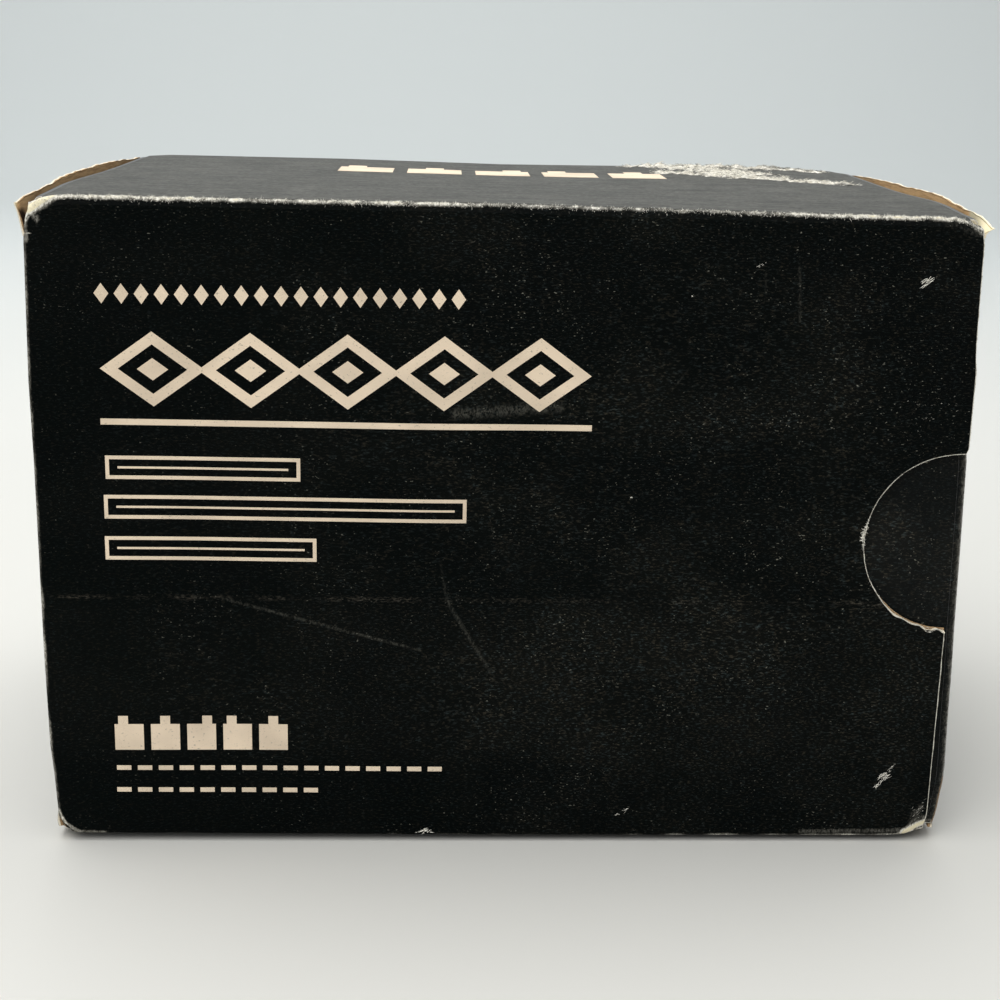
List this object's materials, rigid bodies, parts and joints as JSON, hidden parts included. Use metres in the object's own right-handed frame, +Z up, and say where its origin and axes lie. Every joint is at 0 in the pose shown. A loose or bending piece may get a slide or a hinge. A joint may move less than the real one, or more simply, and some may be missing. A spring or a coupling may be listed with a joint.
{
  "type": "index card box in its carton",
  "caption": "Black folding-board carton, with a thumb notch and hinged tuck closures at its ends, holding a lidded sheet-metal tin of divider cards and blank index cards.",
  "frame": {"origin": "middle of the carton's base, on the surface that it stands on", "axes": "+Z up; -Y towards the front panel, which has the thumb notch at its right; +X along the length, to the right end"},
  "size_m": [0.1438, 0.086, 0.0994],
  "materials": {
    "black_board": "matt black print on white-lined board, worn to cream along creases and cut edges",
    "kraft_board": "uncoated brown board",
    "tin_enamel": "satin enamel",
    "tin_plate": "plain tinplate",
    "hinge_wire": "drawn wire",
    "divider_stock": "buff manila card",
    "card_stock": "uncoated card"
  },
  "bodies": {
    "carton": {"front_panel": "black_board", "top_panel": "black_board", "back_panel": "black_board", "bottom_panel": "black_board", "glue_flap": "kraft_board", "tin_body": "tin_enamel", "tin_bottom": "tin_plate", "tin_hinge_pins": "hinge_wire", "divider_1": "divider_stock", "divider_2": "divider_stock", "divider_3": "divider_stock", "divider_4": "divider_stock", "divider_5": "divider_stock", "divider_6": "divider_stock", "divider_7": "divider_stock", "divider_8": "divider_stock", "blank_card_packs": "card_stock"},
    "right_closure": {"right_end_panel": "black_board"},
    "right_tuck": {"right_tuck_flap": "black_board"},
    "right_upper_dust": {"right_upper_dust_flap": "black_board"},
    "right_lower_dust": {"right_lower_dust_flap": "black_board"},
    "left_closure": {"left_end_panel": "black_board"},
    "left_tuck": {"left_tuck_flap": "black_board"},
    "left_upper_dust": {"left_upper_dust_flap": "black_board"},
    "left_lower_dust": {"left_lower_dust_flap": "black_board"},
    "lid": {"tin_lid": "tin_enamel"}
  },
  "joints": [
    {"name": "right_closure_hinge", "type": "hinge", "parent": "carton", "child": "right_closure", "pos_m": [0.06925, 0.04279, 0.04925], "axis": [0, 0, 1], "range_deg": [0, 120]},
    {"name": "right_tuck_fold", "type": "hinge", "parent": "right_closure", "child": "right_tuck", "pos_m": [0.06875, -0.04145, 0.04925], "axis": [0, 0, -1], "range_deg": [0, 48]},
    {"name": "right_upper_dust_fold", "type": "hinge", "parent": "carton", "child": "right_upper_dust", "pos_m": [0.06825, 0, 0.09829], "axis": [0, -1, 0], "range_deg": [0, 90]},
    {"name": "right_lower_dust_fold", "type": "hinge", "parent": "carton", "child": "right_lower_dust", "pos_m": [0.06825, 0, 0.0002], "axis": [0, 1, 0], "range_deg": [0, 90]},
    {"name": "left_closure_hinge", "type": "hinge", "parent": "carton", "child": "left_closure", "pos_m": [-0.06925, -0.04279, 0.04925], "axis": [0, 0, 1], "range_deg": [0, 120]},
    {"name": "left_tuck_fold", "type": "hinge", "parent": "left_closure", "child": "left_tuck", "pos_m": [-0.06875, 0.04145, 0.04925], "axis": [0, 0, -1], "range_deg": [0, 48]},
    {"name": "left_upper_dust_fold", "type": "hinge", "parent": "carton", "child": "left_upper_dust", "pos_m": [-0.06825, 0, 0.09829], "axis": [0, 1, 0], "range_deg": [0, 90]},
    {"name": "left_lower_dust_fold", "type": "hinge", "parent": "carton", "child": "left_lower_dust", "pos_m": [-0.06825, 0, 0.0002], "axis": [0, -1, 0], "range_deg": [0, 90]},
    {"name": "tin_lid_hinge", "type": "hinge", "parent": "carton", "child": "lid", "pos_m": [0, 0.04055, 0.06485], "axis": [-1, 0, 0], "range_deg": [0, 0.9]}
  ],
  "couplings": [
    {"joint": "right_tuck_fold", "follows": "right_closure_hinge", "ratio": 0.4},
    {"joint": "right_upper_dust_fold", "follows": "right_closure_hinge", "ratio": 0.75},
    {"joint": "right_lower_dust_fold", "follows": "right_closure_hinge", "ratio": 0.75},
    {"joint": "left_tuck_fold", "follows": "left_closure_hinge", "ratio": 0.4},
    {"joint": "left_upper_dust_fold", "follows": "left_closure_hinge", "ratio": 0.75},
    {"joint": "left_lower_dust_fold", "follows": "left_closure_hinge", "ratio": 0.75}
  ]
}
